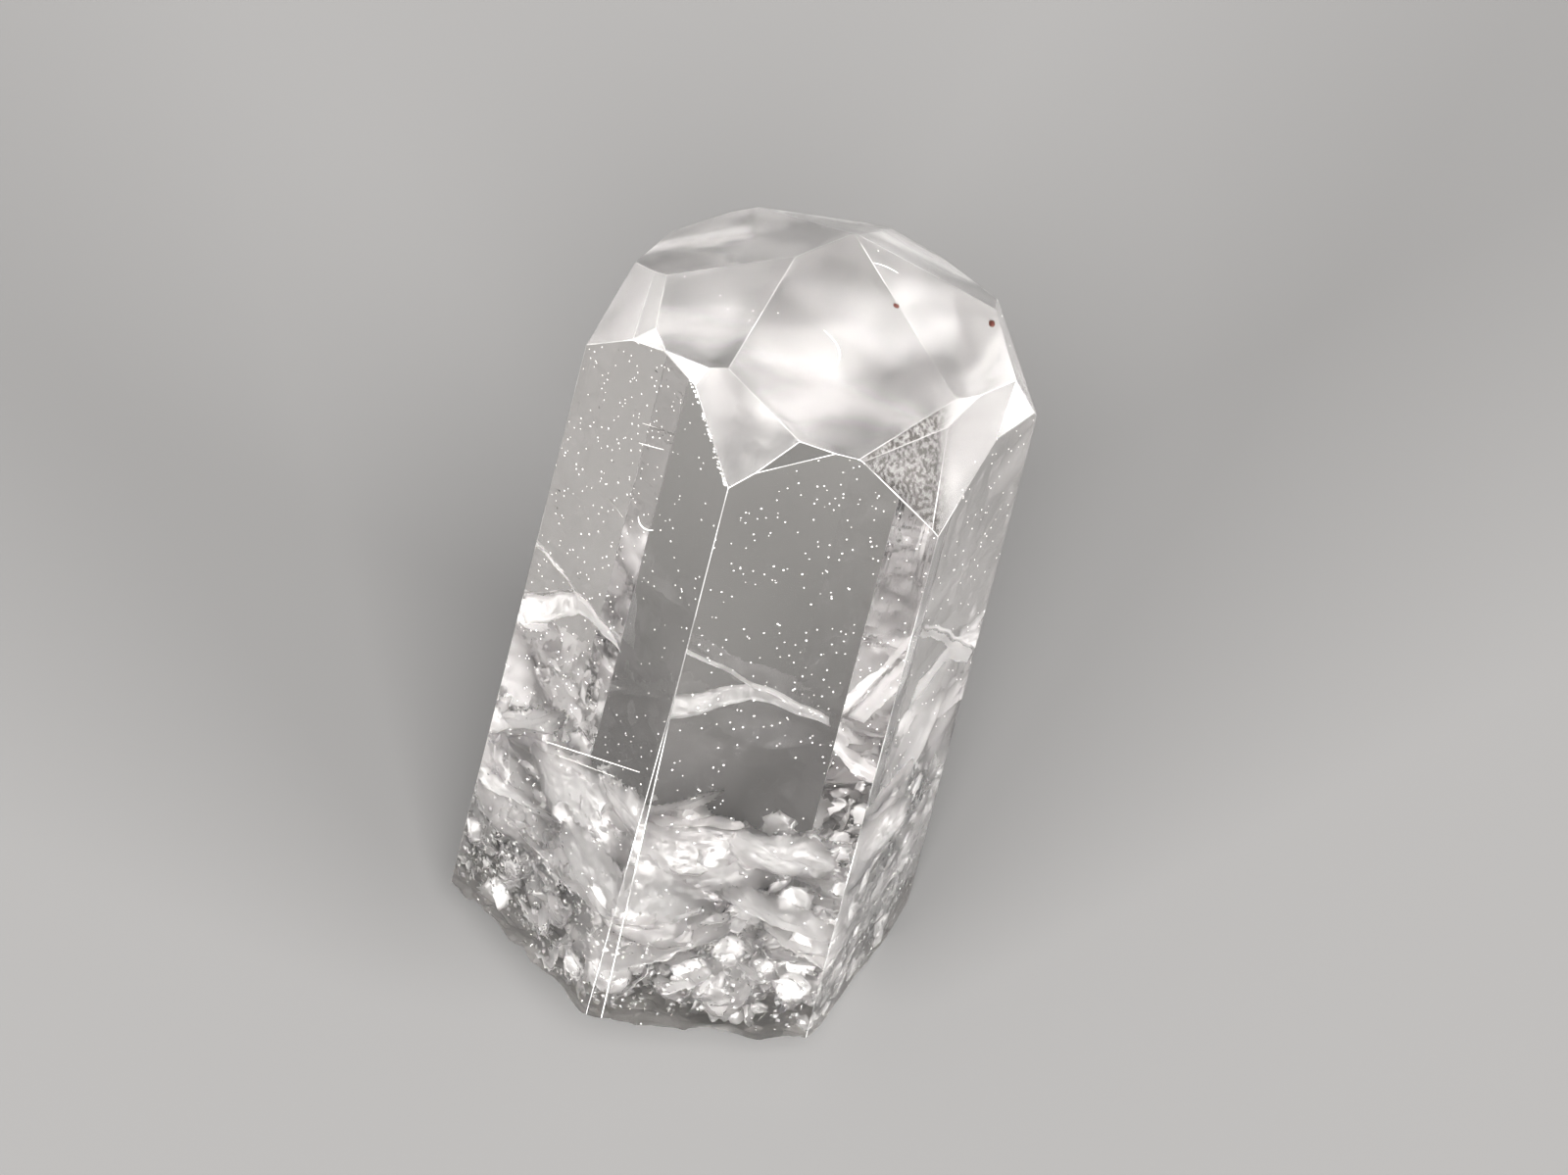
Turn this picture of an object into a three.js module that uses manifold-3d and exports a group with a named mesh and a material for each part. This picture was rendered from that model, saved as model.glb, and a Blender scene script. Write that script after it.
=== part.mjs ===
// A natural phenakite crystal: a six-sided prism under a many-faced dome, with a broken lower end.
// Millimetres, +Z up. It stands on the flat part of the break and leans back and to the right.
import * as THREE from 'three';
import { ConvexGeometry } from 'three/addons/geometries/ConvexGeometry.js';
import { mergeVertices } from 'three/addons/utils/BufferGeometryUtils.js';
import Module from 'manifold-3d';

const domeCentreHeight = 8.98; // point on the crystal's axis that every face is measured from
const footDepth = 1.6; // how far the prism runs below the floor before it is broken off
const leanAngle = 20; // degrees off upright
const leanTowards = 55.9; // compass of the lean, degrees from +X towards +Y
const spin = -26.9; // turn about the crystal's own axis: where prism face 0 points
const axisFoot = { x: -0.955, y: -1.529 }; // where the axis meets the floor

// Azimuth and distance of the prism's six faces, one every 60 degrees.
const prismDistances = [2.74, 2.755, 2.8, 2.77, 2.705, 2.85];

// The dome's faces: azimuth, tilt from the axis (0 is flat on top, 90 is a prism face) and distance.
const domeFaces = {
  centre: { azimuth: 339, tilt: 17, distance: 2.71 },
  left: { azimuth: 201.5, tilt: 22.5, distance: 3.01 },
  right: { azimuth: 2, tilt: 19.5, distance: 2.755 },
  rearLeft: { azimuth: 154, tilt: 33, distance: 2.785 },
  rear: { azimuth: 114.5, tilt: 36, distance: 2.885 },
  rearRight: { azimuth: 78, tilt: 35, distance: 2.89 },
  shoulderLeft: { azimuth: 198, tilt: 54.5, distance: 3.22 },
  shoulderRight: { azimuth: 35, tilt: 62, distance: 3.125 },
  lowerLeft: { azimuth: 267, tilt: 61.5, distance: 3.475 },
  lowerRight: { azimuth: 340.5, tilt: 55, distance: 3.1 },
};

// Narrow faces that trim the edges between the large ones.
const trimFaces = {
  lowerRightOuter: { azimuth: 346, tilt: 58, distance: 3.07 },
  lowerRightCrown: { azimuth: 342, tilt: 42, distance: 3.075 },
  leftSill: { azimuth: 214, tilt: 50, distance: 3.405 },
  leftSillCorner: { azimuth: 240, tilt: 58, distance: 3.53 },
  shoulderLeftTrim: { azimuth: 199, tilt: 48.5, distance: 3.235 },
  frontWedge: { azimuth: 296, tilt: 81.5, distance: 3.145 },
  rightTip: { azimuth: 4, tilt: 80, distance: 2.945 },
  rearLeftCorner: { azimuth: 150, tilt: 58, distance: 3.245 },
  rearRightCorner: { azimuth: 90, tilt: 58, distance: 3.23 },
  frontEdgeBevel: { azimuth: 270, tilt: 90.6, distance: 3.23 },
};

// The break: flat where it rests, rising towards the front left, and bitten into shell-shaped chips.
const riseTowards = 243; // compass of the rise, degrees
const riseStart = -1; // where the resting face ends, along the rise, from the axis
const riseSlope = 0.29;
const riseCurve = 0.03; // the slope grows with distance
const chipCount = 46;
const chipSpread = 0.56; // spacing of the chips along their spiral
const chipRadius = { least: 0.42, most: 0.78 };
const chipDepth = { least: 0.07, most: 0.17 };
const chipFade = 0.5; // chips reach full depth this far past the resting face
const breakBlock = { width: 11, depth: 4, cells: 66 };

const goldenAngle = Math.PI * (3 - Math.sqrt(5));
const cleanCorner = 1e-5;

function faceNormal({ azimuth, tilt }) {
  const turn = THREE.MathUtils.degToRad(azimuth);
  const lean = THREE.MathUtils.degToRad(tilt);
  return new THREE.Vector3(Math.sin(lean) * Math.cos(turn), Math.sin(lean) * Math.sin(turn), Math.cos(lean));
}

function crystalPlanes() {
  const prismFaces = prismDistances.map((distance, i) => ({ azimuth: 60 * i, tilt: 90, distance }));
  const faces = [...prismFaces, ...Object.values(domeFaces), ...Object.values(trimFaces)];
  const planes = faces.map((face) => {
    const normal = faceNormal(face);
    return { normal, offset: face.distance + domeCentreHeight * normal.z };
  });
  planes.push({ normal: new THREE.Vector3(0, 0, -1), offset: footDepth });
  return planes;
}

// Where three faces meet, if no other face cuts that point off.
function cornerOf(first, second, third, planes) {
  const rows = [first, second, third].flatMap(({ normal }) => normal.toArray());
  const matrix = new THREE.Matrix3().set(...rows);
  if (Math.abs(matrix.determinant()) < cleanCorner) return null;
  const corner = new THREE.Vector3(first.offset, second.offset, third.offset).applyMatrix3(matrix.invert());
  const isKept = planes.every(({ normal, offset }) => normal.dot(corner) < offset + cleanCorner);
  return isKept ? corner : null;
}

function wholeCrystal() {
  const planes = crystalPlanes();
  const corners = [];
  for (let i = 0; i < planes.length; i += 1) {
    for (let j = i + 1; j < planes.length; j += 1) {
      for (let k = j + 1; k < planes.length; k += 1) {
        const corner = cornerOf(planes[i], planes[j], planes[k], planes);
        const isNew = corner && corners.every((other) => other.distanceTo(corner) > cleanCorner);
        if (isNew) corners.push(corner);
      }
    }
  }
  return new ConvexGeometry(corners);
}

// From the crystal's own frame to where it stands.
function standingPose() {
  const towards = THREE.MathUtils.degToRad(leanTowards);
  const hinge = new THREE.Vector3(-Math.sin(towards), Math.cos(towards), 0);
  const lean = new THREE.Matrix4().makeRotationAxis(hinge, THREE.MathUtils.degToRad(leanAngle));
  const turn = new THREE.Matrix4().makeRotationZ(THREE.MathUtils.degToRad(spin));
  return new THREE.Matrix4().makeTranslation(axisFoot.x, axisFoot.y, 0).multiply(lean).multiply(turn);
}

function between({ least, most }, share) {
  return least + (most - least) * share;
}

// Chips lie on a spiral around the axis; their sizes repeat in no short pattern.
const chips = Array.from({ length: chipCount }, (_, i) => {
  const reach = chipSpread * Math.sqrt(i + 0.5);
  return {
    x: axisFoot.x + reach * Math.cos(i * goldenAngle),
    y: axisFoot.y + reach * Math.sin(i * goldenAngle),
    radius: between(chipRadius, (i * 0.618) % 1),
    depth: between(chipDepth, (i * 0.414) % 1),
  };
});

function breakHeight(x, y) {
  const compass = THREE.MathUtils.degToRad(riseTowards);
  const along = (x - axisFoot.x) * Math.cos(compass) + (y - axisFoot.y) * Math.sin(compass) - riseStart;
  if (along <= 0) return 0;
  const ramp = riseSlope * along + riseCurve * along * along;
  const bites = chips.map((chip) => {
    const away = Math.hypot(x - chip.x, y - chip.y) / chip.radius;
    return chip.depth * Math.max(0, 1 - away * away);
  });
  return ramp + Math.max(...bites) * Math.min(1, along / chipFade);
}

// Everything below the break, as one closed block.
function belowTheBreak() {
  const { width, depth, cells } = breakBlock;
  const block = new THREE.BoxGeometry(width, width, depth, cells, cells, 1);
  block.translate(axisFoot.x, axisFoot.y, 0);
  const position = block.attributes.position;
  for (let i = 0; i < position.count; i += 1) {
    const isTop = position.getZ(i) > 0;
    position.setZ(i, isTop ? breakHeight(position.getX(i), position.getY(i)) : -depth);
  }
  return block;
}

const wasm = await Module();
wasm.setup();

function solidOf(geometry) {
  const bare = new THREE.BufferGeometry();
  bare.setAttribute('position', geometry.attributes.position.clone());
  if (geometry.index) bare.setIndex(geometry.index.clone());
  const merged = mergeVertices(bare, cleanCorner);
  const vertProperties = new Float32Array(merged.attributes.position.array);
  const triVerts = new Uint32Array(merged.index.array);
  return new wasm.Manifold(new wasm.Mesh({ numProp: 3, vertProperties, triVerts }));
}

function geometryOf(solid) {
  const { vertProperties, triVerts } = solid.getMesh();
  const geometry = new THREE.BufferGeometry();
  geometry.setAttribute('position', new THREE.BufferAttribute(new Float32Array(vertProperties), 3));
  geometry.setIndex(new THREE.BufferAttribute(new Uint32Array(triVerts), 1));
  geometry.computeVertexNormals();
  return geometry;
}

const clearPhenakite = new THREE.MeshStandardMaterial({ color: '#e9e7e4', roughness: 0.08, metalness: 0 });

function phenakiteCrystal() {
  const standing = wholeCrystal().applyMatrix4(standingPose());
  const broken = solidOf(standing).subtract(solidOf(belowTheBreak()));
  const crystal = new THREE.Mesh(geometryOf(broken), clearPhenakite);
  crystal.name = 'phenakite_crystal';
  return crystal;
}

const group = new THREE.Group();
group.add(phenakiteCrystal());

export default group;
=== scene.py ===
# A natural phenakite crystal: clear six-sided prism, etched dome of many faces, shattered lower end.
import math

import bmesh
import bpy
import numpy as np
from mathutils import Matrix, Vector
from mathutils.bvhtree import BVHTree
from mathutils.geometry import delaunay_2d_cdt


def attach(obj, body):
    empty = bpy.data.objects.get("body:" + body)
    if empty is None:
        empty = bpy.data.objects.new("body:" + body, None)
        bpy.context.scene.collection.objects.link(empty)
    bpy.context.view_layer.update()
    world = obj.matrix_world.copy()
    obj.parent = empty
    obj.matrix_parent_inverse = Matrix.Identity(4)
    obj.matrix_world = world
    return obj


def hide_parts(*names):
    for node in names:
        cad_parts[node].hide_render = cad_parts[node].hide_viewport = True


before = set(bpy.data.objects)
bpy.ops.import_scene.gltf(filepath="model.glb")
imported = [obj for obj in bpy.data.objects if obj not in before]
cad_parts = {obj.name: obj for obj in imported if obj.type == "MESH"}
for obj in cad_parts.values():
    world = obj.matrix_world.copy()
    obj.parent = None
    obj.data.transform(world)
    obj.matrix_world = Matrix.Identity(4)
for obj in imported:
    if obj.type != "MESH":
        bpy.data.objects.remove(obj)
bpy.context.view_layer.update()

mm = 0.001  # sizes below are in millimetres
crystalNode = "phenakite_crystal"

# How the crystal stands, as in the frame
stance = {
    "leanAngle": 20.0,  # degrees off upright
    "leanTowards": 55.9,  # compass of the lean, degrees from +X towards +Y
    "spin": -26.9,  # turn about its own axis
    "axisFoot": (-0.955, -1.529),  # where the axis meets the floor
}


def ownToWorld():
    towards = math.radians(stance["leanTowards"])
    hinge = Vector((-math.sin(towards), math.cos(towards), 0))
    foot = Vector((*stance["axisFoot"], 0)) * mm
    lean = Matrix.Rotation(math.radians(stance["leanAngle"]), 4, hinge)
    spin = Matrix.Rotation(math.radians(stance["spin"]), 4, "Z")
    return Matrix.Translation(foot) @ lean @ spin @ Matrix.Scale(mm, 4)


toWorld = ownToWorld()  # from the crystal's own frame in millimetres, its axis along Z
toOwn = toWorld.inverted()
ownAxis = (toWorld.to_3x3() @ Vector((0, 0, 1))).normalized()


# sRGB hex to the linear colour that the shaders take
def fromHex(text):
    parts = [int(text[i:i + 2], 16) / 255 for i in (1, 3, 5)]
    return (*[p / 12.92 if p <= 0.04045 else ((p + 0.055) / 1.055) ** 2.4 for p in parts], 1.0)


# Adds a node with its settings and links; a number as a name is the socket's place
def addNode(tree, kind, settings=None, links=None):
    node = tree.nodes.new(kind)
    for name, value in (settings or {}).items():
        if isinstance(name, int) or name in node.inputs:
            node.inputs[name].default_value = value
        else:
            setattr(node, name, value)
    for name, socket in (links or {}).items():
        tree.links.new(socket, node.inputs[name])
    return node


def newMaterial(name):
    material = bpy.data.materials.new(name)
    material.use_nodes = True
    material.node_tree.nodes.clear()
    return material, material.node_tree


def newObject(name, mesh):
    made = bpy.data.objects.new(name, mesh)
    bpy.context.scene.collection.objects.link(made)
    return made


# Inputs of a geometry tree that a user would change
def addInputs(tree, values):
    tree.interface.new_socket("Geometry", in_out="INPUT", socket_type="NodeSocketGeometry")
    tree.interface.new_socket("Geometry", in_out="OUTPUT", socket_type="NodeSocketGeometry")
    for name, value in values.items():
        kind = {int: "NodeSocketInt", float: "NodeSocketFloat"}.get(type(value), "NodeSocketMaterial")
        tree.interface.new_socket(name, in_out="INPUT", socket_type=kind)
    return addNode(tree, "NodeGroupInput").outputs


# Runs a tree on a carrier mesh and gives back the plain result
def grownMesh(name, carrier, makeTree, values):
    holder = newObject(name + "Carrier", carrier)
    tree = bpy.data.node_groups.new(name, "GeometryNodeTree")
    makeTree(tree, addInputs(tree, values))
    modifier = holder.modifiers.new(name, "NODES")
    modifier.node_group = tree
    for item in tree.interface.items_tree:
        if item.in_out == "INPUT" and item.name in values:
            modifier[item.identifier] = values[item.name]
    seen = holder.evaluated_get(bpy.context.evaluated_depsgraph_get())
    mesh = bpy.data.meshes.new_from_object(seen)
    holder.modifiers.remove(modifier)
    bpy.data.objects.remove(holder)
    return mesh


# The last two steps of every geometry tree
def endTree(tree, geometry, material):
    real = addNode(tree, "GeometryNodeRealizeInstances", None, {"Geometry": geometry})
    done = addNode(tree, "GeometryNodeSetMaterial", None, {"Geometry": real.outputs[0], "Material": material})
    addNode(tree, "NodeGroupOutput", None, {0: done.outputs[0]})


# Joins a finished piece to the frame
def finishPiece(name, mesh, material):
    mesh.materials.clear()
    mesh.materials.append(material)
    piece = newObject(name, mesh)
    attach(piece, "root")
    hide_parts(crystalNode)
    print(name, "ready,", len(mesh.polygons), "faces")
    return piece


# Camera first: a long lens, looking down along +Y at the photograph's angle
cameraView = {
    "elevation": 58.0,  # degrees above the horizon
    "aimAt": (0.572, 2.762, 1.726),  # middle of the picture
    "distance": 400.0,
    "pictureWidth": 1600 / 74,  # what the picture's width spans at the crystal
    "sensor": 36.0,
}


def makeCamera():
    data = bpy.data.cameras.new("camera")
    data.sensor_width = cameraView["sensor"]
    data.lens = cameraView["sensor"] * cameraView["distance"] / cameraView["pictureWidth"]
    data.clip_start, data.clip_end = 0.01, 5.0
    rise = math.radians(cameraView["elevation"])
    back = Vector((0, -math.cos(rise), math.sin(rise)))
    camera = bpy.data.objects.new("camera", data)
    camera.location = (Vector(cameraView["aimAt"]) + back * cameraView["distance"]) * mm
    camera.rotation_euler = (math.radians(90) - rise, 0, 0)
    bpy.context.scene.collection.objects.link(camera)
    bpy.context.scene.camera = camera


makeCamera()
print("camera ready")

# The crystal's skin
crystalSkin = {
    "mergeWithin": 0.0001,
    "needleUnder": 0.001,  # slivers thinner than this are closed up
    "flatWithin": 0.0006,  # facets whose corners lie this close to one plane are one face
    "edgeWear": 0.014,  # width of the worn edges
    "edgeStep": 0.08,
    "spacing": {"dome": 0.08, "window": 0.08, "speckled": 0.08},  # of the points on faces with growth relief
    "breakCuts": 3,  # how finely each facet of the break is cut again
    "smoothUnder": 22.0,  # degrees; sharper edges stay crisp
}
kinds = ["prism", "dome", "window", "speckled", "broken", "resting", "worn"]

# How each dome face is etched and toned: own compass, tilt from the axis, milky share, roughness; the milky share is
# partly real etch and partly painted shade that makes each face lighter or darker than its neighbours
etchAndPaintedShadeOfFaces = [
    (339, 17, 0.025, 0.2), (201.5, 22.5, 0.07, 0.18), (2, 19.5, 0.06, 0.16), (154, 33, 0.13, 0.14),
    (114.5, 36, 0.1, 0.16), (78, 35, 0.12, 0.16), (198, 54.5, 0.1, 0.25), (35, 62, 0.08, 0.2),
    (267, 61.5, 0.05, 0.1), (340.5, 55, 0.05, 0.25), (346, 58, 0.06, 0.25), (342, 42, 0.2, 0.25),
    (214, 50, 0.2, 0.3), (240, 58, 0.18, 0.3), (4, 80, 0.2, 0.3), (150, 58, 0.2, 0.3), (90, 58, 0.2, 0.3),
]
etchOfKind = {"prism": (0.0, 0.012, 0.0), "worn": (0.1, 0.25, 0.0), "broken": (0.85, 0.45, 0.5),
              "resting": (0.5, 0.45, 0.85)}  # milky share, roughness, silver


# What a face is, from its direction in the crystal's own frame
def kindOfFace(normal):
    own = (toOwn.to_3x3() @ normal).normalized()
    azimuth = math.degrees(math.atan2(own.y, own.x)) % 360
    tilt = math.degrees(math.acos(max(-1, min(1, own.z))))
    if normal.z < -0.9999:
        return "resting"
    if tilt > 100:
        return "broken"
    if tilt > 70 and not (azimuth < 10 and tilt < 84):
        return "prism"
    if 255 < azimuth < 280 and tilt > 57:
        return "window"
    if 330 < azimuth < 352 and tilt > 38:
        return "speckled"
    return "dome"


# Milky share, roughness and silver of a face; on the dome faces the milky share is partly painted shade
def etchAndShadeOfFace(kind, normal):
    if kind in etchOfKind:
        return etchOfKind[kind]
    own = (toOwn.to_3x3() @ normal).normalized()

    def nearness(entry):
        azimuth, tilt = math.radians(entry[0]), math.radians(entry[1])
        flat = math.sin(tilt)
        return own.dot(Vector((flat * math.cos(azimuth), flat * math.sin(azimuth), math.cos(tilt))))

    return (*max(etchAndPaintedShadeOfFaces, key=nearness)[2:], 0.0)


# Fine bites of the break: small shell-shaped chips laid over the large ones of the frame
breakBites = {
    "seed": 11,
    "coarse": {"count": 420, "radius": (0.12, 0.34), "depth": (0.02, 0.085)},
    "fine": {"count": 2600, "radius": (0.04, 0.13), "depth": (0.006, 0.03)},
    "centre": (-0.55, -1.33),
    "reach": 4.2,
    "fadeHeight": 0.1,  # above the floor, where they reach full depth
}


def makeBites():
    chance = np.random.default_rng(breakBites["seed"])
    sets = []
    for size in (breakBites["coarse"], breakBites["fine"]):
        count = size["count"]
        away = breakBites["reach"] * np.sqrt(chance.random(count))
        turn = chance.random(count) * 2 * math.pi
        centre = np.stack([away * np.cos(turn), away * np.sin(turn)], 1) + breakBites["centre"]
        sets.append((centre, chance.uniform(*size["radius"], count), chance.uniform(*size["depth"], count)))
    return sets


# How deep the bites are at each place (x, y)
def biteDepth(places):
    total = np.zeros(len(places))
    for centre, radius, depth in makeBites():
        for start in range(0, len(places), 2000):
            part = places[start:start + 2000]
            away = np.linalg.norm(part[:, None, :] - centre[None], axis=2) / radius
            total[start:start + 2000] += (depth * np.clip(1 - away ** 2, 0, None)).max(1)
    return total


# Joins the frame's triangles into the crystal's whole flat faces; those of the break stay apart
def joinFlatFaces(bm):
    plane = {}
    for face in sorted(bm.faces, key=lambda f: -f.calc_area()):
        if face in plane or kindOfFace(face.normal) == "broken":
            continue
        normal, point = face.normal.copy(), face.verts[0].co.copy()
        kind = kinds.index(kindOfFace(normal))
        for other in bm.faces:
            if other in plane:
                continue
            if all(abs((v.co - point).dot(normal)) < crystalSkin["flatWithin"] * mm for v in other.verts):
                plane[other] = point
                other.material_index = kind
    for face in bm.faces:
        if face not in plane:
            face.material_index = kinds.index("broken")
    inner = [e for e in bm.edges if len({id(plane.get(f, f)) for f in e.link_faces}) == 1]
    bmesh.ops.dissolve_edges(bm, edges=inner, use_verts=True)


# The frame's solid in whole faces, with worn edges and a finer break
def wholeFaces():
    bm = bmesh.new()
    bm.from_mesh(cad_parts[crystalNode].data)
    bmesh.ops.remove_doubles(bm, verts=bm.verts, dist=crystalSkin["mergeWithin"] * mm)
    bm.normal_update()
    joinFlatFaces(bm)
    bm.normal_update()
    under = (kinds.index("broken"), kinds.index("resting"))
    worn = [e for e in bm.edges if not any(f.material_index in under for f in e.link_faces)]
    bmesh.ops.bevel(bm, geom=worn, offset=crystalSkin["edgeWear"] * mm / 2, offset_type="OFFSET", segments=1,
                    affect="EDGES", clamp_overlap=False, material=kinds.index("worn"))
    bmesh.ops.dissolve_degenerate(bm, edges=bm.edges, dist=crystalSkin["needleUnder"] * mm)
    broken = [f for f in bm.faces if f.material_index == kinds.index("broken")]
    broken = bmesh.ops.triangulate(bm, faces=broken)["faces"]
    edges = list({e for f in broken for e in f.edges})
    bmesh.ops.subdivide_edges(bm, edges=edges, cuts=crystalSkin["breakCuts"], use_grid_fill=True)
    return bm


# Which points lie inside a flat outline, and how far each is from its rim
def insideOutline(points, outline):
    begins, ends = outline, np.roll(outline, -1, 0)
    steps = ends - begins
    share = ((points[:, None] - begins) * steps).sum(2) / (steps ** 2).sum(1)
    nearest = begins + np.clip(share, 0, 1)[..., None] * steps
    gap = np.linalg.norm(points[:, None] - nearest, axis=2).min(1)
    above = (begins[:, 1] > points[:, None, 1]) != (ends[:, 1] > points[:, None, 1])
    with np.errstate(divide="ignore", invalid="ignore"):
        crossing = begins[:, 0] + (points[:, None, 1] - begins[:, 1]) / steps[:, 1] * steps[:, 0]
    crossed = (above & (points[:, None, 0] < crossing)).sum(1)
    return crossed % 2 == 1, gap


# Fills one flat outline with even triangles
def fillOutline(outline, normal, spacing):
    across = (outline[1] - outline[0]).normalized()
    up = normal.cross(across)
    centre = sum(outline, Vector()) / len(outline)
    flat = np.array([((p - centre).dot(across), (p - centre).dot(up)) for p in outline]) / mm
    low, high = flat.min(0), flat.max(0)
    rows = np.arange(low[1] + spacing / 2, high[1], spacing * math.sqrt(3) / 2)
    inner = [(x + spacing / 2 * (i % 2), y) for i, y in enumerate(rows)
             for x in np.arange(low[0] + spacing / 4, high[0], spacing)]
    inner, gap = np.array(inner).reshape(-1, 2), np.zeros(0)
    if len(inner):
        isInside, gap = insideOutline(inner, flat)
        keep = isInside & (gap > spacing * 0.45)
        inner, gap = inner[keep], gap[keep]
    points = [Vector(p) for p in np.concatenate([flat, inner])]
    made = delaunay_2d_cdt(points, [], [list(range(len(flat)))], 1, 1e-7)
    places, rim = [], []
    for point, sources in zip(made[0], made[3]):
        isRim = not sources or sources[0] < len(flat)
        rim.append(0.0 if isRim else gap[sources[0] - len(flat)])
        onRim = sources and isRim
        places.append(outline[sources[0]] if onRim else centre + (across * point.x + up * point.y) * mm)
    return places, made[2], rim


# A face's outline with points set along its long edges, the same from both sides of an edge
def steppedOutline(face, broken):
    outline = []
    for loop in face.loops:
        isRough = any(f.material_index == broken for f in loop.edge.link_faces)
        start, end = loop.vert.co, loop.link_loop_next.vert.co
        count = 1 if isRough else max(1, round((end - start).length / mm / crystalSkin["edgeStep"]))
        first, last = sorted((start, end), key=lambda p: tuple(p))
        points = [first.lerp(last, i / count) for i in range(count + 1)]
        outline += (points if first == start else points[::-1])[:-1]
    apart = crystalSkin["mergeWithin"] * mm
    return [p for p, before in zip(outline, outline[-1:] + outline[:-1]) if (p - before).length > apart]


def skinMesh():
    bm = wholeFaces()
    broken = kinds.index("broken")
    under = [v for v in bm.verts if any(f.material_index == broken for f in v.link_faces)]
    depth = biteDepth(np.array([v.co[:2] for v in under]) / mm)
    for vert, bite in zip(under, depth):
        vert.co += ownAxis * (bite * mm) * min(1, vert.co.z / mm / breakBites["fadeHeight"])
    bm.normal_update()
    places, faces, faceKinds, rims, etchAndShade = [], [], [], [], []
    for face in bm.faces:
        first = len(places)
        outline = steppedOutline(face, broken)
        spacing = crystalSkin["spacing"].get(kinds[face.material_index])
        if spacing:
            filled, triangles, rim = fillOutline(outline, face.normal, spacing)
        else:
            filled, triangles, rim = outline, [range(len(outline))], [0.0] * len(outline)
        places += filled
        rims += rim
        faces += [[first + i for i in t] for t in triangles]
        faceKinds += [face.material_index] * len(triangles)
        etchAndShade += [etchAndShadeOfFace(kinds[face.material_index], face.normal)] * len(triangles)
    bm.free()
    mesh = bpy.data.meshes.new("phenakiteSkin")
    mesh.from_pydata(places, [], faces)
    mesh.attributes.new("rimDistance", "FLOAT", "POINT").data.foreach_set("value", np.array(rims, np.float32))
    for i, name in enumerate(kinds):
        mask = (np.array(faceKinds) == i).astype(np.float32)
        mesh.attributes.new(name, "FLOAT", "FACE").data.foreach_set("value", mask)
    for name, values in zip(("milkAndPaintedShade", "roughness", "silver"), np.array(etchAndShade, np.float32).T):
        mesh.attributes.new(name, "FLOAT", "FACE").data.foreach_set("value", values.copy())
    own = np.array([toOwn @ p for p in places], np.float32).ravel()
    mesh.attributes.new("ownPlace", "FLOAT_VECTOR", "POINT").data.foreach_set("vector", own)
    bm = bmesh.new()
    bm.from_mesh(mesh)
    bmesh.ops.remove_doubles(bm, verts=bm.verts, dist=crystalSkin["mergeWithin"] * mm)
    bmesh.ops.triangulate(bm, faces=[f for f in bm.faces if len(f.verts) > 4])
    bmesh.ops.recalc_face_normals(bm, faces=bm.faces)
    layers = [bm.faces.layers.float[name] for name in kinds]
    for edge in bm.edges:
        pair = [[f[layer] for layer in layers] for f in edge.link_faces]
        edge.smooth = len(pair) == 2 and pair[0] == pair[1] and edge.calc_face_angle(0) < math.radians(crystalSkin["smoothUnder"])
    print("open edges:", sum(not e.is_manifold for e in bm.edges))
    bm.to_mesh(mesh)
    bm.free()
    mesh.polygons.foreach_set("use_smooth", [True] * len(mesh.polygons))
    return mesh


# Growth relief: the dome's faces swell and dip by a few hundredths
growthRelief = {
    "Swell": 0.035,
    "Swell scale": 0.8,  # per millimetre
    "Pit depth": 0.003,
    "Pit scale": 5.0,
    "Rim": 0.16,  # the relief fades out this far from each edge
}


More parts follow.
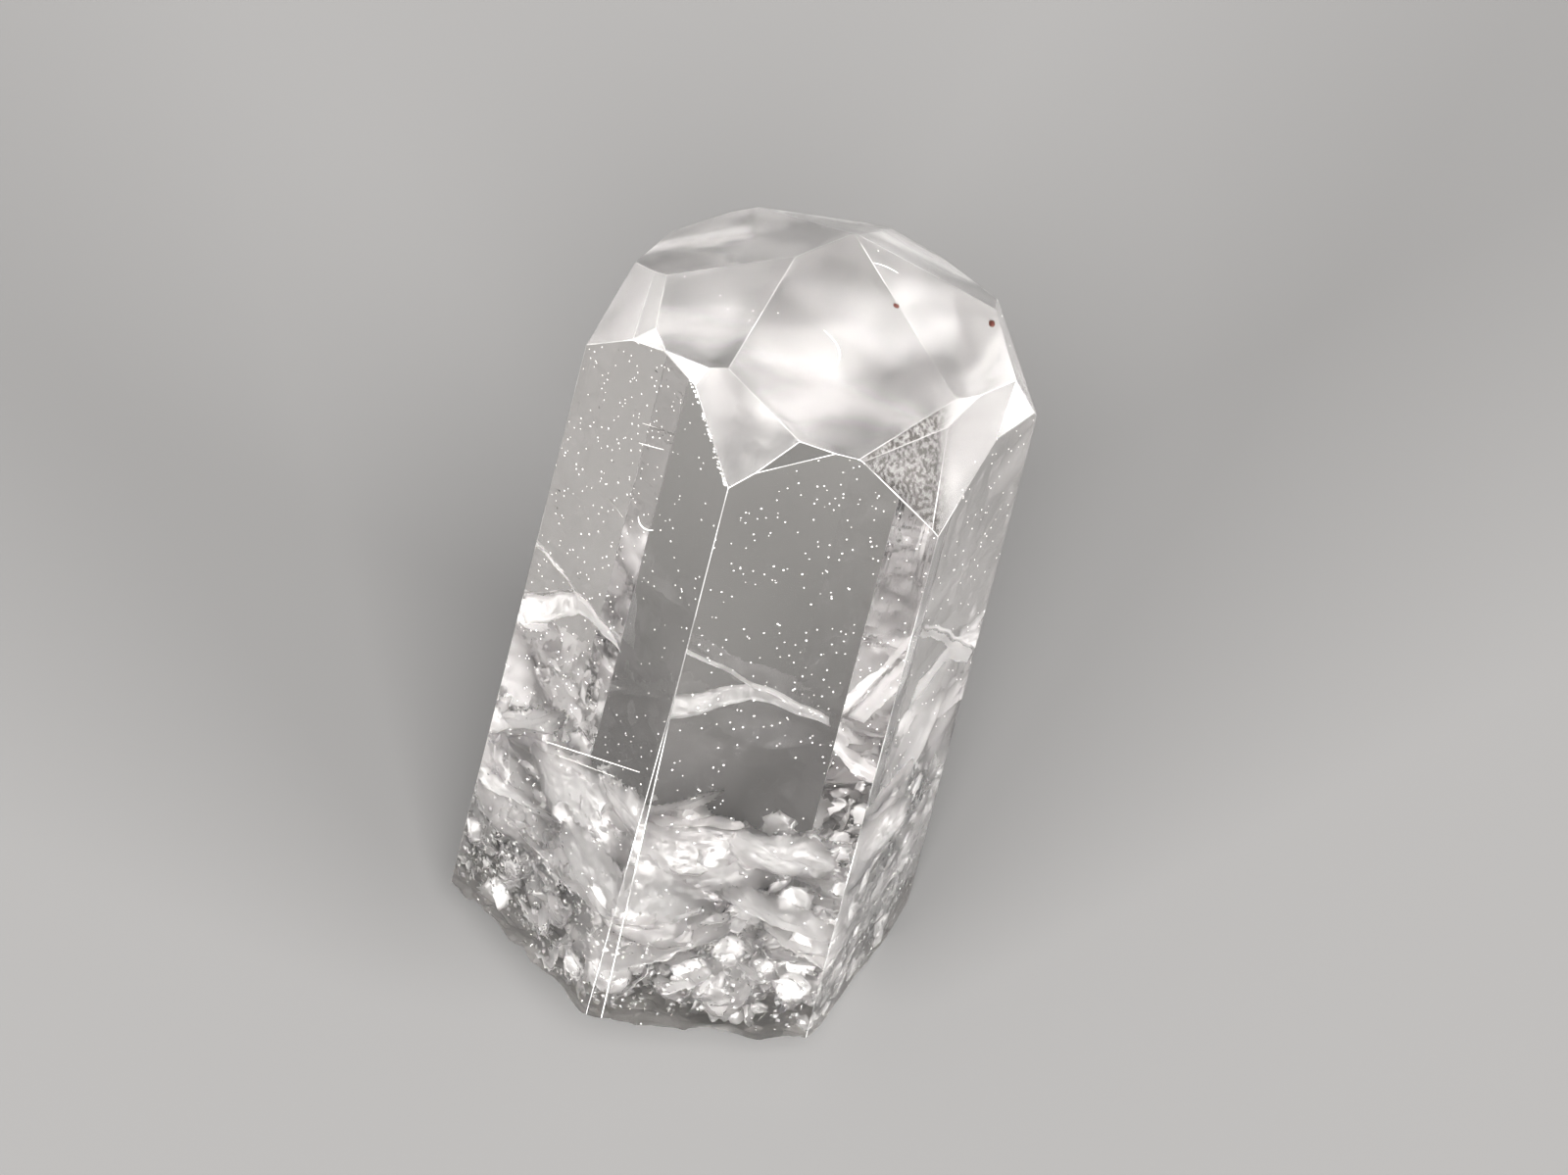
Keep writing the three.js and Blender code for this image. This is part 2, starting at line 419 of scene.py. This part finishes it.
def reliefTree(tree, inputs):
    place = addNode(tree, "GeometryNodeInputPosition")
    inMm = addNode(tree, "ShaderNodeVectorMath", {"operation": "SCALE", "Scale": 1 / mm}, {0: place.outputs[0]})
    swell = addNode(tree, "ShaderNodeTexNoise", {"Detail": 1.0}, {
        "Vector": inMm.outputs[0], "Scale": inputs["Swell scale"]})
    pits = addNode(tree, "ShaderNodeTexNoise", {"Detail": 2.0}, {
        "Vector": inMm.outputs[0], "Scale": inputs["Pit scale"]})
    swellOff = addNode(tree, "ShaderNodeMath", {"operation": "SUBTRACT", 1: 0.55}, {0: swell.outputs[0]})
    pitsOff = addNode(tree, "ShaderNodeMath", {"operation": "SUBTRACT", 1: 0.6}, {0: pits.outputs[0]})
    swellFar = addNode(tree, "ShaderNodeMath", {"operation": "MULTIPLY"}, {0: swellOff.outputs[0], 1: inputs["Swell"]})
    far = addNode(tree, "ShaderNodeMath", {"operation": "MULTIPLY_ADD"}, {
        0: pitsOff.outputs[0], 1: inputs["Pit depth"], 2: swellFar.outputs[0]})
    rim = addNode(tree, "GeometryNodeInputNamedAttribute", {"data_type": "FLOAT", "Name": "rimDistance"})
    fade = addNode(tree, "ShaderNodeMapRange", {"interpolation_type": "SMOOTHSTEP"}, {
        "Value": rim.outputs[0], "From Max": inputs["Rim"]})
    dome = addNode(tree, "GeometryNodeInputNamedAttribute", {"data_type": "FLOAT", "Name": "dome"})
    spot = addNode(tree, "GeometryNodeInputNamedAttribute", {"data_type": "FLOAT", "Name": "speckled"})
    etched = addNode(tree, "ShaderNodeMath", {"operation": "ADD"}, {0: dome.outputs[0], 1: spot.outputs[0]})
    where = addNode(tree, "ShaderNodeMath", {"operation": "MULTIPLY"}, {0: fade.outputs[0], 1: etched.outputs[0]})
    amount = addNode(tree, "ShaderNodeMath", {"operation": "MULTIPLY"}, {0: where.outputs[0], 1: far.outputs[0]})
    inMetres = addNode(tree, "ShaderNodeMath", {"operation": "MULTIPLY", 1: mm}, {0: amount.outputs[0]})
    normal = addNode(tree, "GeometryNodeInputNormal")
    push = addNode(tree, "ShaderNodeVectorMath", {"operation": "SCALE"}, {
        0: normal.outputs[0], "Scale": inMetres.outputs[0]})
    moved = addNode(tree, "GeometryNodeSetPosition", None, {
        "Geometry": inputs["Geometry"], "Offset": push.outputs[0]})
    endTree(tree, moved.outputs[0], inputs["Material"])


# Clear phenakite, grown and broken: glassy prism faces, cloudy etched dome, frosted break
clearPhenakite = {
    "ior": 1.66,
    "absorb": "#b9b5b6",
    "absorbPerMetre": 28.0,
    "cloudScale": 0.8,  # per millimetre, as are the scales below
    "cloudRange": (0.6, 1.5),
    "speckScale": 15.0,
    "speckColour": "#59544f",
    "speckEdge": (2.62, 2.86),  # millimetres along X, where the specked part of its face ends
    "streakScale": (7.0, 7.0, 0.12),
    "streakDepth": 0.0006,
    "chipScale": 3.0,
    "chipDepth": 0.03,
}


def phenakiteMaterial():
    material, tree = newMaterial("clearPhenakite")

    def mask(name):
        return addNode(tree, "ShaderNodeAttribute", {"attribute_name": name}).outputs["Fac"]

    def calculate(operation, first, second):
        made = addNode(tree, "ShaderNodeMath", {"operation": operation}, {0: first})
        if isinstance(second, float):
            made.inputs[1].default_value = second
        else:
            tree.links.new(second, made.inputs[1])
        return made.outputs[0]

    own = addNode(tree, "ShaderNodeAttribute", {"attribute_name": "ownPlace"}).outputs["Vector"]
    cloud = addNode(tree, "ShaderNodeTexNoise", {"Scale": clearPhenakite["cloudScale"], "Detail": 2.0}, {"Vector": own})
    cloudy = addNode(tree, "ShaderNodeMapRange", {
        "From Min": 0.35, "From Max": 0.65, "To Min": clearPhenakite["cloudRange"][0],
        "To Max": clearPhenakite["cloudRange"][1]}, {"Value": cloud.outputs[0]})
    wearHere = addNode(tree, "ShaderNodeMapRange", {"From Min": 0.45, "From Max": 0.62}, {"Value": cloud.outputs[0]})
    wornMilk = calculate("MULTIPLY", calculate("MULTIPLY", mask("worn"), wearHere.outputs[0]), 0.3)
    # Milky share of each face: real frosting, and on the dome faces partly painted shade from face to face; the worn
    # edges add their own
    milkAndPaintedShade = calculate("ADD", calculate("MULTIPLY", mask("milkAndPaintedShade"), cloudy.outputs[0]), wornMilk)
    clear = calculate("ADD", calculate("MULTIPLY", milkAndPaintedShade, -1.0), 1.0)
    place = addNode(tree, "ShaderNodeTexCoord")
    apart = addNode(tree, "ShaderNodeSeparateXYZ", None, {0: place.outputs["Object"]})
    edge = addNode(tree, "ShaderNodeMapRange", {
        "From Min": clearPhenakite["speckEdge"][0] * mm, "From Max": clearPhenakite["speckEdge"][1] * mm,
        "To Min": 1.0, "To Max": 0.0}, {"Value": apart.outputs["X"]})
    speck = addNode(tree, "ShaderNodeTexNoise", {"Scale": clearPhenakite["speckScale"], "Detail": 2.0}, {"Vector": own})
    speckHere = addNode(tree, "ShaderNodeMapRange", {"From Min": 0.4, "From Max": 0.56, "To Min": 0.55}, {
        "Value": speck.outputs[0]})
    specked = calculate("MULTIPLY", mask("speckled"), edge.outputs[0])
    dark = calculate("MULTIPLY", specked, speckHere.outputs[0])
    colour = addNode(tree, "ShaderNodeMix", {
        "data_type": "RGBA", 6: fromHex("#f8f6f3"), 7: fromHex(clearPhenakite["speckColour"])}, {0: dark})
    streakPlace = addNode(tree, "ShaderNodeMapping", {"Scale": clearPhenakite["streakScale"]}, {"Vector": own})
    streak = addNode(tree, "ShaderNodeTexNoise", {"Scale": 1.0, "Detail": 2.0}, {"Vector": streakPlace.outputs[0]})
    streakHigh = calculate("MULTIPLY", calculate("MULTIPLY", streak.outputs[0], mask("prism")),
                           clearPhenakite["streakDepth"])
    chip = addNode(tree, "ShaderNodeTexNoise", {
        "Scale": clearPhenakite["chipScale"], "Detail": 3.0, "Roughness": 0.6}, {"Vector": own})
    chipHigh = calculate("MULTIPLY", calculate("MULTIPLY", chip.outputs[0], mask("broken")),
                         clearPhenakite["chipDepth"])
    bump = addNode(tree, "ShaderNodeBump", {"Distance": mm}, {"Height": calculate("ADD", streakHigh, chipHigh)})
    shader = addNode(tree, "ShaderNodeBsdfPrincipled", {"IOR": clearPhenakite["ior"]}, {
        "Base Color": colour.outputs[2], "Roughness": mask("roughness"), "Transmission Weight": clear,
        "Metallic": mask("silver"), "Normal": bump.outputs[0]})
    depth = addNode(tree, "ShaderNodeVolumeAbsorption", {
        "Color": fromHex(clearPhenakite["absorb"]), "Density": clearPhenakite["absorbPerMetre"]})
    addNode(tree, "ShaderNodeOutputMaterial", None,
            {"Surface": shader.outputs[0], "Volume": depth.outputs[0]})
    return material


phenakite = phenakiteMaterial()
skin = grownMesh("growthRelief", skinMesh(), reliefTree, {**growthRelief, "Material": phenakite})
crystal = finishPiece("phenakiteCrystal", skin, phenakite)

# Cracks inside: the air in them turns light back like thin silver
innerCracks = {
    "thickness": 0.006,
    "clearance": 0.025,  # kept between a crack and the skin
    "silver": (0.4, 1.0),  # share of the light that a crack turns back
    "silverScale": 6.0,  # per millimetre
    "ior": 1.04,
    "roughness": 0.5,
}
skinTree = BVHTree.FromObject(crystal, bpy.context.evaluated_depsgraph_get())


def crackMaterial():
    material, tree = newMaterial("silveryCrack")
    place = addNode(tree, "ShaderNodeTexCoord")
    inMm = addNode(tree, "ShaderNodeMapping", {"Scale": (1 / mm, 1 / mm, 1 / mm)}, {"Vector": place.outputs["Object"]})
    patch = addNode(tree, "ShaderNodeTexNoise", {
        "Scale": innerCracks["silverScale"], "Detail": 3.0, "Roughness": 0.6}, {
        "Vector": inMm.outputs[0]})
    silver = addNode(tree, "ShaderNodeMapRange", {
        "From Min": 0.4, "From Max": 0.54, "To Min": innerCracks["silver"][0], "To Max": innerCracks["silver"][1]},
        {"Value": patch.outputs[0]})
    fade = addNode(tree, "ShaderNodeAttribute", {"attribute_name": "fade"})
    rim = addNode(tree, "ShaderNodeMapRange", {"From Max": 0.6, "interpolation_type": "SMOOTHSTEP"}, {
        "Value": fade.outputs["Fac"]})
    share = addNode(tree, "ShaderNodeMath", {"operation": "MULTIPLY"}, {0: silver.outputs[0], 1: rim.outputs[0]})
    shader = addNode(tree, "ShaderNodeBsdfPrincipled", {
        "Base Color": fromHex("#fefdfd"), "Roughness": innerCracks["roughness"], "Transmission Weight": 1.0,
        "IOR": innerCracks["ior"]}, {"Metallic": share.outputs[0]})
    addNode(tree, "ShaderNodeOutputMaterial", None, {"Surface": shader.outputs[0]})
    return material


silveryCrack = crackMaterial()


# How far inside the skin a point lies, in millimetres; negative outside
def depthInside(point):
    away = skinTree.find_nearest(point)[3] / mm
    for direction in (ownAxis, Vector((0.35, -0.93, 0.1))):
        place, normal = skinTree.ray_cast(point, direction)[:2]
        if place is None or normal.dot(direction) < 0:
            return -away
    return away


# Turns an open sheet into a closed slab, without the parts that would leave the crystal
def closedSlab(name, sheet):
    bm = bmesh.new()
    bm.from_mesh(sheet)
    outside = [v for v in bm.verts if depthInside(v.co) < innerCracks["clearance"]]
    bmesh.ops.delete(bm, geom=outside, context="VERTS")
    while pinched := [v for v in bm.verts if sum(e.is_boundary for e in v.link_edges) > 2 or not v.link_faces]:
        bmesh.ops.delete(bm, geom=pinched, context="VERTS")
    bm.normal_update()
    half = innerCracks["thickness"] / 2 * mm
    verts = list(bm.verts)
    index = {v: i for i, v in enumerate(verts)}
    count = len(verts)
    places = [v.co + v.normal * half for v in verts] + [v.co - v.normal * half for v in verts]
    layer = bm.verts.layers.float["fade"]
    fade = [v[layer] for v in verts] * 2
    faces = [[index[v] for v in f.verts] for f in bm.faces]
    faces += [[index[v] + count for v in reversed(f.verts)] for f in bm.faces]
    for edge in bm.edges:
        if len(edge.link_loops) == 1:
            loop = edge.link_loops[0]
            a, b = index[loop.vert], index[loop.link_loop_next.vert]
            faces.append([a, a + count, b + count, b])
    bm.free()
    mesh = bpy.data.meshes.new(name)
    mesh.from_pydata(places, [], faces)
    mesh.attributes.new("fade", "FLOAT", "POINT").data.foreach_set("value", fade)
    mesh.polygons.foreach_set("use_smooth", [True] * len(mesh.polygons))
    return mesh


# The shattered lower end, in sheets, scales and grains
shatterZone = {
    "across": 2.9,
    "sheets": {"count": 22, "rise": (1.0, 2.55), "Cells": 30, "Least size": 0.5, "Most size": 1.3, "Tilt": 0.6,
               "Bend": 0.12, "Warp": 0.45, "Warp scale": 1.1, "Seed": 3},
    "scales": {"count": 520, "rise": (-0.1, 2.2), "Cells": 9, "Least size": 0.1, "Most size": 0.38, "Tilt": 1.3,
               "Bend": 0.35, "Warp": 0.35, "Warp scale": 2.6, "Seed": 5},
    "grains": {"count": 3800, "rise": (-0.2, 2.0), "Cells": 4, "Least size": 0.03, "Most size": 0.13, "Tilt": 3.14,
               "Bend": 0.4, "Warp": 0.1, "Warp scale": 4.0, "Seed": 8},
}


def crackTree(tree, inputs):
    grid = addNode(tree, "GeometryNodeMeshGrid", {"Size X": 2.0, "Size Y": 2.0}, {
        "Vertices X": inputs["Cells"], "Vertices Y": inputs["Cells"]})
    place = addNode(tree, "GeometryNodeInputPosition")
    away = addNode(tree, "ShaderNodeVectorMath", {"operation": "LENGTH"}, {0: place.outputs[0]})
    dish = addNode(tree, "ShaderNodeMath", {"operation": "POWER", 1: 2.0}, {0: away.outputs["Value"]})
    dishHeight = addNode(tree, "ShaderNodeMath", {"operation": "MULTIPLY"}, {0: dish.outputs[0], 1: inputs["Bend"]})
    lift = addNode(tree, "ShaderNodeCombineXYZ", None, {"Z": dishHeight.outputs[0]})
    isOuter = addNode(tree, "ShaderNodeMath", {"operation": "GREATER_THAN", 1: 1.02}, {0: away.outputs["Value"]})
    rounded = addNode(tree, "GeometryNodeDeleteGeometry", {"domain": "POINT"}, {
        "Geometry": grid.outputs[0], "Selection": isOuter.outputs[0]})
    shell = addNode(tree, "GeometryNodeSetPosition", None, {
        "Geometry": rounded.outputs[0], "Offset": lift.outputs[0]})
    toRim = addNode(tree, "ShaderNodeMath", {"operation": "SUBTRACT", 0: 1.02}, {1: away.outputs["Value"]})
    faded = addNode(tree, "GeometryNodeStoreNamedAttribute", {
        "data_type": "FLOAT", "domain": "POINT", "Name": "fade"}, {
        "Geometry": shell.outputs[0], "Value": toRim.outputs[0]})
    mostTurn = addNode(tree, "ShaderNodeCombineXYZ", {"Z": math.pi}, {"X": inputs["Tilt"], "Y": inputs["Tilt"]})
    leastTurn = addNode(tree, "ShaderNodeVectorMath", {"operation": "SCALE", "Scale": -1.0}, {0: mostTurn.outputs[0]})
    turn = addNode(tree, "FunctionNodeRandomValue", {"data_type": "FLOAT_VECTOR"}, {
        0: leastTurn.outputs[0], 1: mostTurn.outputs[0], "Seed": inputs["Seed"]})
    size = addNode(tree, "FunctionNodeRandomValue", {"data_type": "FLOAT"}, {
        2: inputs["Least size"], 3: inputs["Most size"], "Seed": inputs["Seed"]})
    spread = addNode(tree, "GeometryNodeInstanceOnPoints", None, {
        "Points": inputs["Geometry"], "Instance": faded.outputs[0], "Rotation": turn.outputs[0],
        "Scale": size.outputs[1]})
    real = addNode(tree, "GeometryNodeRealizeInstances", None, {"Geometry": spread.outputs[0]})
    wave = addNode(tree, "ShaderNodeTexNoise", {"Detail": 4.0, "Roughness": 0.55}, {
        "Vector": place.outputs[0], "Scale": inputs["Warp scale"]})
    centred = addNode(tree, "ShaderNodeVectorMath", {"operation": "SUBTRACT", 1: (0.5, 0.5, 0.5)}, {
        0: wave.outputs["Color"]})
    push = addNode(tree, "ShaderNodeVectorMath", {"operation": "SCALE"}, {
        0: centred.outputs[0], "Scale": inputs["Warp"]})
    warped = addNode(tree, "GeometryNodeSetPosition", None, {"Geometry": real.outputs[0], "Offset": push.outputs[0]})
    endTree(tree, warped.outputs[0], inputs["Material"])


# Centres of one group of cracks, in the crystal's own frame
def crackCentres(group):
    chance = np.random.default_rng(group["Seed"])
    points = []
    while len(points) < group["count"]:
        x, y = chance.uniform(-1, 1, 2) * shatterZone["across"]
        point = Vector((x, y, chance.uniform(*group["rise"])))
        if depthInside(toWorld @ point) > innerCracks["clearance"]:
            points.append(point)
    mesh = bpy.data.meshes.new("crackCentres")
    mesh.from_pydata(points, [], [])
    return mesh


for name in ("sheets", "scales", "grains"):
    group = shatterZone[name]
    settings = {key: value for key, value in group.items() if key not in ("count", "rise")}
    sheet = grownMesh(name, crackCentres(group), crackTree, {**settings, "Material": silveryCrack})
    sheet.transform(toWorld)
    finishPiece("shattered" + name.capitalize(), closedSlab(name, sheet), silveryCrack)

# Two cracks by the rear face, which the front faces show again and again
rearCracks = {
    "azimuth": 120.0,  # own compass of the rear face
    "distance": 2.8,
    "depth": 0.03,  # how far inside the face they begin
    "fine": {"path": [(1.45, 5.25), (0.5, 4.93), (-0.3, 4.52), (-1.4, 4.02)], "inward": 0.13, "drop": [0.03] * 4,
             "silver": 0.2},
    "broad": {"silver": 0.22, "path": [(0.95, 4.13), (0.35, 4.33), (-0.22, 4.56), (-0.75, 4.36), (-1.4, 4.03)], "inward": 0.25,
              "drop": [0.36, 0.3, 0.2, 0.14, 0.05]},
    "steps": 10,
}


def rearCrackMesh(crack):
    turn = math.radians(rearCracks["azimuth"])
    outward = Vector((math.cos(turn), math.sin(turn), 0))
    along = Vector((-math.sin(turn), math.cos(turn), 0))
    path = crack["path"]
    near, far = [], []
    for i in range((len(path) - 1) * rearCracks["steps"] + 1):
        k, share = divmod(i / rearCracks["steps"], 1)
        k = min(int(k), len(path) - 2)
        share = i / rearCracks["steps"] - k
        a, h = (path[k][j] + (path[k + 1][j] - path[k][j]) * share for j in (0, 1))
        drop = crack["drop"][k] + (crack["drop"][k + 1] - crack["drop"][k]) * share
        wave = 0.02 * math.sin(a * 9)
        start = outward * (rearCracks["distance"] - rearCracks["depth"]) + along * a + Vector((0, 0, h + wave))
        near.append(start)
        far.append(start - outward * crack["inward"] - Vector((0, 0, drop)))
    rows = 4
    points = [n.lerp(f, r / rows) for r in range(rows + 1) for n, f in zip(near, far)]
    width = len(near)
    faces = [(r * width + i, r * width + i + 1, (r + 1) * width + i + 1, (r + 1) * width + i)
             for r in range(rows) for i in range(width - 1)]
    mesh = bpy.data.meshes.new("rearCrack")
    mesh.from_pydata([toWorld @ p for p in points], [], faces)
    mesh.attributes.new("fade", "FLOAT", "POINT").data.foreach_set("value", [crack["silver"]] * len(points))
    return mesh


for name in ("fine", "broad"):
    finishPiece(name + "RearCrack", closedSlab(name, rearCrackMesh(rearCracks[name])), silveryCrack)

# Specks on the skin: dust on the prism faces, bright beads along one worn edge, two brown grains
fineDust = {
    "perFace": {"A": 70e6, "B": 50e6, "C": 20e6, "dome": 2e6},  # specks per square metre
    "clusterScale": 1100.0,  # per metre
    "Least size": 0.005,
    "Most size": 0.016,
    "Seed": 21,
    "colour": "#d6d3ce",
}
edgeBeads = {
    "path": [(-0.953, -2.573, 11.299), (-0.785, -2.67, 11.225), (-0.496, -2.837, 10.958),
             (-0.261, -2.973, 10.73), (-0.079, -3.078, 10.541), (0.098, -3.18, 10.366)],
    "count": 60,
    "jitter": 0.016,
    "Least size": 0.01,
    "Most size": 0.028,
    "Seed": 4,
}
brownGrains = {
    "places": [(0.809, 0.229, 11.608), (1.912, 1.171, 11.211), (1.9, 1.19, 11.215)],
    "Least size": 0.034,
    "Most size": 0.062,
    "Seed": 2,
    "colour": "#43180a",
}


def speckSettings(settings, material):
    sizes = {name: settings[name] for name in ("Least size", "Most size", "Seed")}
    return {**sizes, "Material": material}


# Small flattened grains on the points; their sizes are radii in millimetres
def growSpecks(tree, inputs, points, rotation=None, unit=1.0):
    speck = addNode(tree, "GeometryNodeMeshIcoSphere", {"Radius": unit, "Subdivisions": 1})
    least, most = inputs["Least size"], inputs["Most size"]
    low = addNode(tree, "ShaderNodeCombineXYZ", None, {"X": least, "Y": least, "Z": least})
    high = addNode(tree, "ShaderNodeCombineXYZ", None, {"X": most, "Y": most, "Z": least})
    size = addNode(tree, "FunctionNodeRandomValue", {"data_type": "FLOAT_VECTOR"}, {
        0: low.outputs[0], 1: high.outputs[0], "Seed": inputs["Seed"]})
    links = {"Points": points, "Instance": speck.outputs[0], "Scale": size.outputs[0]}
    if rotation:
        links["Rotation"] = rotation
    spread = addNode(tree, "GeometryNodeInstanceOnPoints", None, links)
    endTree(tree, spread.outputs[0], inputs["Material"])


def dustTree(tree, inputs):
    density = addNode(tree, "GeometryNodeInputNamedAttribute", {"data_type": "FLOAT", "Name": "density"})
    cluster = addNode(tree, "ShaderNodeTexNoise", {"Scale": fineDust["clusterScale"], "Detail": 2.0})
    bunched = addNode(tree, "ShaderNodeMapRange", {"From Min": 0.36, "From Max": 0.72}, {"Value": cluster.outputs[0]})
    here = addNode(tree, "ShaderNodeMath", {"operation": "MULTIPLY"}, {0: density.outputs[0], 1: bunched.outputs[0]})
    spots = addNode(tree, "GeometryNodeDistributePointsOnFaces", None, {
        "Mesh": inputs["Geometry"], "Density": here.outputs[0], "Seed": inputs["Seed"]})
    growSpecks(tree, inputs, spots.outputs[0], spots.outputs["Rotation"], mm)


def beadTree(tree, inputs):
    growSpecks(tree, inputs, inputs["Geometry"])


def pointMesh(points):
    mesh = bpy.data.meshes.new("points")
    mesh.from_pydata(points, [], [])
    return mesh


def dustCarrier():
    mesh = crystal.data.copy()
    density = []
    for face in mesh.polygons:
        own = (toOwn.to_3x3() @ face.normal).normalized()
        azimuth = math.degrees(math.atan2(own.y, own.x)) % 360
        side = {240: "A", 300: "B", 0: "C"}.get(round(azimuth / 60) * 60 % 360)
        if abs(own.z) > 0.1:
            side = "dome" if own.z > 0.3 else None
        height = (toOwn @ face.center).z
        density.append(fineDust["perFace"].get(side, 0) * min(1.0, max(0.35, height / 9)))
    mesh.attributes.new("density", "FLOAT", "FACE").data.foreach_set("value", density)
    return mesh


def beadPoints():
    chance = np.random.default_rng(edgeBeads["Seed"])
    path = np.array(edgeBeads["path"])
    where = np.sort(chance.uniform(0, len(path) - 1.001, edgeBeads["count"]))
    k = where.astype(int)
    points = path[k] + (path[k + 1] - path[k]) * (where - k)[:, None]
    return points + chance.uniform(-1, 1, points.shape) * edgeBeads["jitter"]


def mattMaterial(name, colour, roughness):
    material, tree = newMaterial(name)
    shader = addNode(tree, "ShaderNodeBsdfPrincipled", {"Base Color": fromHex(colour), "Roughness": roughness})
    addNode(tree, "ShaderNodeOutputMaterial", None, {"Surface": shader.outputs[0]})
    return material


dustMatter = mattMaterial("fineDust", fineDust["colour"], 0.9)
brownMatter = mattMaterial("ironStain", brownGrains["colour"], 0.6)
dust = grownMesh("fineDust", dustCarrier(), dustTree, speckSettings(fineDust, dustMatter))
finishPiece("fineDust", dust, dustMatter)
beads = grownMesh("edgeBeads", pointMesh(beadPoints()), beadTree, speckSettings(edgeBeads, dustMatter))
beads.transform(toWorld)
finishPiece("edgeBeads", beads, dustMatter)
grains = grownMesh("brownGrains", pointMesh(brownGrains["places"]), beadTree, speckSettings(brownGrains, brownMatter))
grains.transform(toWorld)
finishPiece("brownGrains", grains, brownMatter)

# Fine raised growth lines on the dome and hair cracks in the left prism face
hairLines = {
    "domeCurve": (0.011, [(0.237, -0.899, 11.648), (0.374, -0.914, 11.607), (0.553, -0.975, 11.549),
                          (0.625, -1.143, 11.51), (0.648, -1.34, 11.482)]),
    "topRing": (0.009, [(0.251, 0.612, 11.806), (0.386, 0.734, 11.757), (0.57, 0.763, 11.692)]),
    "upperHair": (0.007, [(-1.499, -2.258, 9.613), (-1.28, -2.385, 9.76), (-1.064, -2.509, 9.91)]),
    "upperHairTwin": (0.006, [(-1.52, -2.245, 9.95), (-1.17, -2.445, 10.17)]),
    "hook": (0.014, [(-1.2, -2.43, 8.56), (-1.162, -2.453, 8.45), (-1.05, -2.515, 8.44), (-0.9, -2.6, 8.6)]),
    "fineHair": (0.006, [(-1.75, -2.11, 8.36), (-1.45, -2.285, 8.3)]),
    "baseLine": (0.011, [(-1.776, -2.098, 3.851), (-0.9, -2.604, 4.42), (-0.108, -3.061, 4.929)]),
    "baseLineTwin": (0.008, [(-1.5, -2.257, 3.86), (-0.5, -2.835, 4.46)]),
}


def hairLineMesh():
    curve = bpy.data.curves.new("hairLines", "CURVE")
    curve.dimensions, curve.bevel_depth, curve.bevel_resolution, curve.use_fill_caps = "3D", 1.0, 1, True
    for radius, points in hairLines.values():
        line = curve.splines.new("NURBS")
        line.points.add(len(points) - 1)
        for i, (spot, place) in enumerate(zip(line.points, points)):
            spot.co = (*place, 1)
            spot.radius = radius * (0.4 if i in (0, len(points) - 1) else 1.0)
        line.use_endpoint_u, line.order_u, line.resolution_u = True, min(4, len(points)), 8
    holder = bpy.data.objects.new("hairLines", curve)
    mesh = bpy.data.meshes.new_from_object(holder)
    bpy.data.objects.remove(holder)
    bm = bmesh.new()
    bm.from_mesh(mesh)
    bmesh.ops.remove_doubles(bm, verts=bm.verts, dist=crystalSkin["mergeWithin"])
    bmesh.ops.recalc_face_normals(bm, faces=bm.faces)
    bm.to_mesh(mesh)
    bm.free()
    mesh.transform(toWorld)
    return mesh


finishPiece("hairLines", hairLineMesh(), dustMatter)

# Pale matte paper under the crystal
floorSheet = {"size": 300.0, "colour": "#6b6a69", "roughness": 1.0}


def makeFloor():
    half = floorSheet["size"] / 2 * mm
    mesh = bpy.data.meshes.new("floor")
    mesh.from_pydata([(-half, -half, 0), (half, -half, 0), (half, half, 0), (-half, half, 0)], [], [(0, 1, 2, 3)])
    material, tree = newMaterial("mattePaper")
    shader = addNode(tree, "ShaderNodeBsdfPrincipled", {
        "Base Color": fromHex(floorSheet["colour"]), "Roughness": floorSheet["roughness"],
        "Specular IOR Level": 0.0})
    addNode(tree, "ShaderNodeOutputMaterial", None, {"Surface": shader.outputs[0]})
    mesh.materials.append(material)
    newObject("floor", mesh)


makeFloor()

# A soft tent of light and one softbox over the camera
studio = {
    "tent": "#f6f5f4",
    "tentStrength": 0.58,
    "softboxes": {
        "key": {"from": (0.05, -0.42, 0.6), "size": 0.4, "watts": 10.5},
        "left": {"from": (-0.45, -0.46, 0.18), "size": 0.34, "watts": 15.0},
        "right": {"from": (0.52, -0.38, 0.18), "size": 0.34, "watts": 14.0},
    },
}


def makeLights():
    world = bpy.data.worlds.new("studio")
    world.use_nodes = True
    background = world.node_tree.nodes["Background"]
    background.inputs["Color"].default_value = fromHex(studio["tent"])
    background.inputs["Strength"].default_value = studio["tentStrength"]
    bpy.context.scene.world = world
    for name, box in studio["softboxes"].items():
        data = bpy.data.lights.new(name, "AREA")
        data.size = box["size"]
        data.energy = box["watts"]
        lamp = bpy.data.objects.new(name, data)
        lamp.location = box["from"]
        lamp.rotation_euler = (-Vector(box["from"])).to_track_quat("-Z", "Y").to_euler()
        bpy.context.scene.collection.objects.link(lamp)


makeLights()

# Light passes many surfaces inside the crystal; none of it is spread over the floor
cycles = bpy.context.scene.cycles
cycles.max_bounces = 16
cycles.transmission_bounces = 16
cycles.glossy_bounces = 16
cycles.caustics_refractive = False
cycles.caustics_reflective = False
bpy.context.scene.view_settings.view_transform = "Standard"
print("studio ready")
